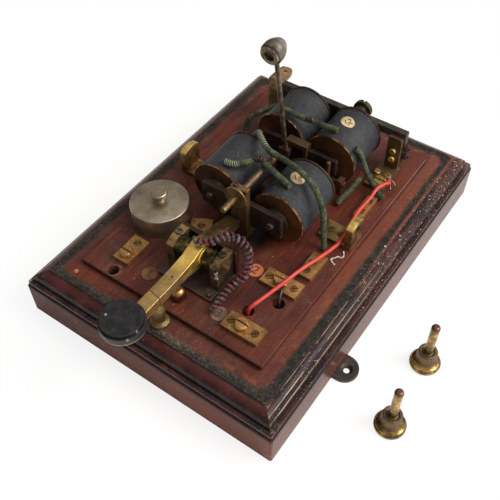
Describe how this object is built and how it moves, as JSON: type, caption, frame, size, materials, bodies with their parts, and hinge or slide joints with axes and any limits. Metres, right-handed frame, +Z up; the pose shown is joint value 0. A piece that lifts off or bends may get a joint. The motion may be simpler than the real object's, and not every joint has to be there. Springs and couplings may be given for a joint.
{
  "type": "railway block bell",
  "caption": "Telegraph bell movement on a moulded mahogany base: coil pairs, pivoted armature with hammer, tapping key, lightning protector and terminals.",
  "frame": {"origin": "centre of the base's underside", "axes": "+X to the right, +Y from the tapping key to the rear coils, +Z up"},
  "size_m": [0.2708, 0.297, 0.167],
  "materials": {
    "mahogany": "old stained and varnished mahogany",
    "brass": "aged and tarnished",
    "cheek_brass": "copper-brown, bright at the rim",
    "copper_brass": "coppery and dull",
    "bronze": "grey-green bronze",
    "iron": "dark brown oxide",
    "steel": "dulled, brown in places",
    "nickel": "worn warm nickel",
    "coil_wrap": "blue-grey waxed paper with pale specks",
    "ebonite": "satin, dulled by age",
    "braided_wire": "grey braid with red flecks",
    "green_lead": "sage green wound cotton",
    "red_wire": "satin coral red",
    "black_wire": "satin",
    "fibre": "worn vulcanised fibre"
  },
  "bodies": {
    "base": {"plinth": "mahogany", "base_board": "mahogany", "panel": "mahogany", "fixing_lugs": "iron", "cover_post_left": "brass", "cover_post_right": "brass", "cover_post_screws": "brass", "front_yoke": "iron", "front_cores": "iron", "bobbin_front_left": "cheek_brass", "bobbin_front_right": "cheek_brass", "winding_front_left": "coil_wrap", "winding_front_right": "coil_wrap", "rear_yoke": "iron", "rear_cores": "iron", "bobbin_rear_left": "cheek_brass", "bobbin_rear_right": "cheek_brass", "winding_rear_left": "coil_wrap", "winding_rear_right": "coil_wrap", "yoke_screws": "steel", "rear_rail": "iron", "rear_bracket_left": "brass", "rear_bracket_right": "brass", "rear_bracket_screws": "brass", "rear_disc": "brass", "adjuster_bracket": "brass", "adjuster_lock_screw": "copper_brass", "spring_tube": "brass", "armature_posts": "brass", "armature_spindle": "copper_brass", "armature_stop": "copper_brass", "key_plate": "ebonite", "key_bracket_left": "brass", "key_bracket_right": "brass", "key_bracket_wall": "brass", "key_screws": "steel", "key_contact_stud": "brass", "key_front_stop": "brass", "pigtail": "braided_wire", "protector_base": "brass", "terminal_plates": "brass", "terminal_clamp_screws": "brass", "terminal_small_screws": "brass", "number_discs": "fibre", "back_contact": "brass", "coil_leads": "green_lead", "red_wire": "red_wire", "black_wire": "black_wire"},
    "key": {"key_lever": "brass", "key_knob": "ebonite", "key_axle": "copper_brass"},
    "armature": {"armature_bar": "iron", "armature_carrier": "brass", "rod_clamp": "copper_brass", "hammer_rod": "steel", "hammer_head": "bronze"},
    "adjuster": {"adjusting_screw": "brass"},
    "cap": {"protector_cap": "nickel"},
    "screw_a": {"cover_screw_a": "brass"},
    "screw_b": {"cover_screw_b": "brass"}
  },
  "joints": [
    {"name": "key_hinge", "type": "hinge", "parent": "base", "child": "key", "pos_m": [-0.0005, -0.0723, 0.063], "axis": [1, 0, 0], "range_deg": [0, 2.5], "stiffness_Nm_per_rad": 0.5, "springref_deg": -6.88},
    {"name": "armature_hinge", "type": "hinge", "parent": "base", "child": "armature", "pos_m": [0.0024, 0.0427, 0.052], "axis": [-1, 0, 0], "range_deg": [0, 3.5], "stiffness_Nm_per_rad": 0.05, "springref_deg": -11.46},
    {"name": "adjuster_turn", "type": "hinge", "parent": "base", "child": "adjuster", "pos_m": [0.0017, -0.03, 0.0832], "axis": [0, 1, 0], "continuous": true},
    {"name": "cap_lift", "type": "slide", "parent": "base", "child": "cap", "axis": [0, 0, 1], "range_m": [0, 0.02]},
    {"name": "screw_a_lift", "type": "slide", "parent": "base", "child": "screw_a", "axis": [0, 0, 1], "range_m": [0, 0.05]},
    {"name": "screw_b_lift", "type": "slide", "parent": "base", "child": "screw_b", "axis": [0, 0, 1], "range_m": [0, 0.05]}
  ]
}
